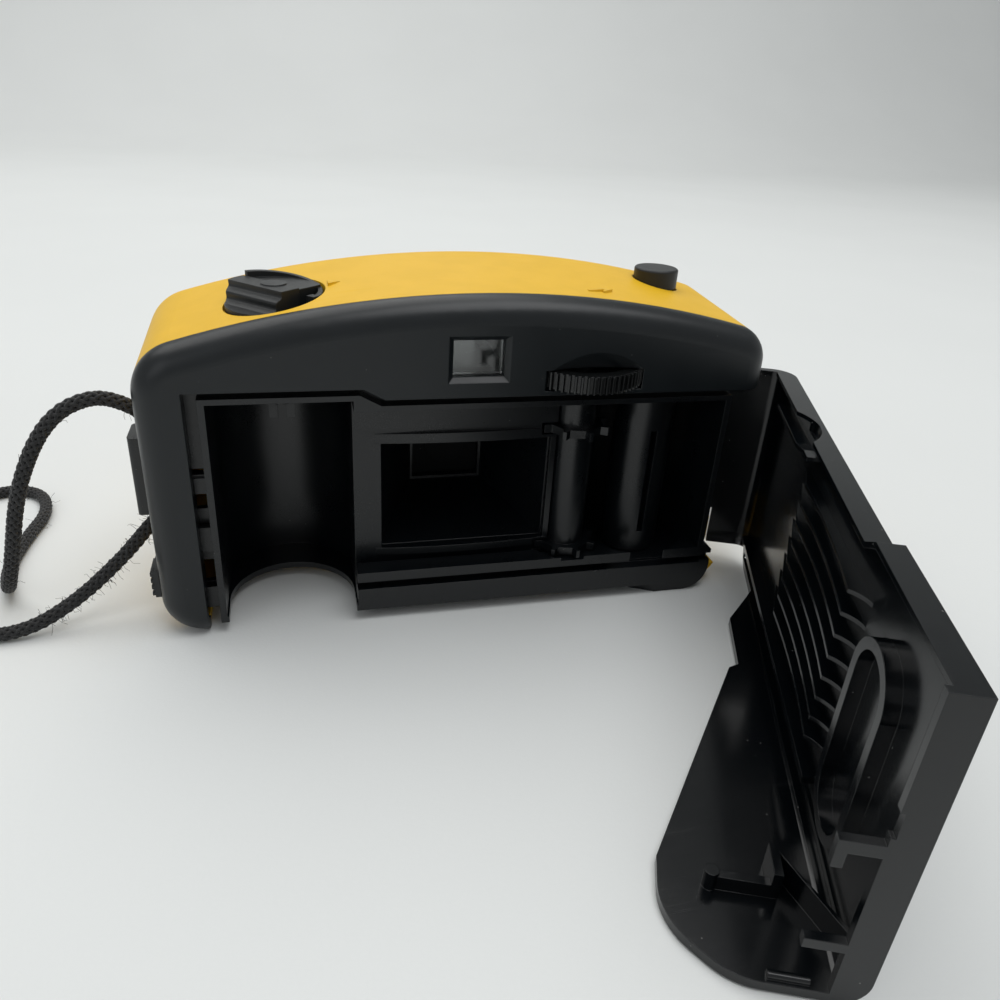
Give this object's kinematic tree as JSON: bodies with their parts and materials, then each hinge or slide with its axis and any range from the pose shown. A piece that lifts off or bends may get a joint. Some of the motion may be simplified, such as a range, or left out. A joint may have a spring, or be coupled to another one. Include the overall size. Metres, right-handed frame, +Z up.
{
  "type": "compact film camera",
  "caption": "Compact 35 mm film camera with its back open, showing the cassette chamber, film gate and take-up spool, with thumb wheel, rewind knob and wrist cord.",
  "frame": {"origin": "middle of the body's base, on the surface it stands on", "axes": "+Z up, +X to the right seen from the back, the back faces -Y and the lens faces +Y"},
  "size_m": [0.1937, 0.1676, 0.0714],
  "materials": {
    "yellow_shell": "fine satin moulding",
    "dark_matt": "matt, fine grain",
    "black_gloss": "semi-gloss black",
    "grey_acetal": "plain",
    "black_metal": "matt black",
    "steel": "bright",
    "clear": "polished",
    "cord": "braided"
  },
  "bodies": {
    "camera_body": {"film_frame": "black_gloss", "rear_shell": "dark_matt", "front_shell": "yellow_shell", "hinge_pin": "steel", "gear_bridge": "grey_acetal", "button_guide": "grey_acetal", "button_spring": "steel", "latch_spring": "steel", "shutter_plate": "black_metal", "blade_pin": "steel", "frame_screws": "steel", "lens_barrel": "black_gloss", "rear_lens": "clear", "front_lens": "clear", "lens_ring": "black_metal", "finder_housing": "black_gloss", "eyepiece_lens": "clear", "finder_window": "clear", "strap_lug": "black_gloss", "lug_cord": "cord", "wrist_cord": "cord"},
    "door": {"back_door": "black_gloss"},
    "latch": {"door_latch": "black_gloss"},
    "rewind": {"rewind_knob": "dark_matt", "rewind_fork": "black_gloss", "fork_clip": "steel"},
    "wheel": {"thumb_wheel": "black_gloss"},
    "sprocket": {"sprocket_shaft": "black_gloss", "shutter_cam": "grey_acetal"},
    "spool": {"take_up_spool": "black_gloss", "spool_gear": "grey_acetal"},
    "pawl": {"wheel_pawl": "grey_acetal"},
    "cocking": {"cocking_lever": "black_metal"},
    "button": {"shutter_button": "dark_matt"},
    "release": {"release_lever": "grey_acetal"},
    "blade": {"shutter_blade": "black_metal"}
  },
  "joints": [
    {"name": "door_hinge", "type": "hinge", "parent": "camera_body", "child": "door", "pos_m": [0.0596, -0.005, 0.03], "axis": [0, 0, 1], "range_deg": [-68, 32]},
    {"name": "latch_slide", "type": "slide", "parent": "camera_body", "child": "latch", "axis": [0, 0, 1], "range_m": [-0.003, 0], "stiffness_N_per_m": 300, "springref_m": 0.001, "deforming": ["latch_spring"]},
    {"name": "rewind_turn", "type": "hinge", "parent": "camera_body", "child": "rewind", "pos_m": [-0.0367, -0.0049, 0.06], "axis": [0, 0, 1], "continuous": true},
    {"name": "wheel_turn", "type": "hinge", "parent": "camera_body", "child": "wheel", "pos_m": [0.0238, -0.0125, 0.053], "axis": [0, 0, 1], "continuous": true},
    {"name": "sprocket_turn", "type": "hinge", "parent": "camera_body", "child": "sprocket", "pos_m": [0.0238, -0.0125, 0.03], "axis": [0, 0, 1], "continuous": true},
    {"name": "spool_turn", "type": "hinge", "parent": "camera_body", "child": "spool", "pos_m": [0.04165, -0.00805, 0.03], "axis": [0, 0, 1], "continuous": true},
    {"name": "pawl_turn", "type": "hinge", "parent": "camera_body", "child": "pawl", "pos_m": [0.0145, 0.0065, 0.053], "axis": [0, 0, 1], "range_deg": [0, 12]},
    {"name": "cocking_turn", "type": "hinge", "parent": "camera_body", "child": "cocking", "pos_m": [0.02, 0.006, 0.058], "axis": [0, 0, 1], "range_deg": [0, 8]},
    {"name": "button_press", "type": "slide", "parent": "camera_body", "child": "button", "axis": [0, 0, 1], "range_m": [-0.0015, 0], "stiffness_N_per_m": 500, "springref_m": 0.001, "deforming": ["button_spring"]},
    {"name": "release_turn", "type": "hinge", "parent": "camera_body", "child": "release", "pos_m": [0.036, 0.0053, 0.0593], "axis": [0, 1, 0], "range_deg": [0, 9]},
    {"name": "blade_turn", "type": "hinge", "parent": "camera_body", "child": "blade", "pos_m": [0.0085, 0.012, 0.0345], "axis": [0, 1, 0], "range_deg": [-42, 0]}
  ],
  "couplings": [
    {"joint": "spool_turn", "follows": "wheel_turn", "ratio": -2.0667},
    {"joint": "release_turn", "follows": "button_press", "rad_per_m": -98.902}
  ]
}
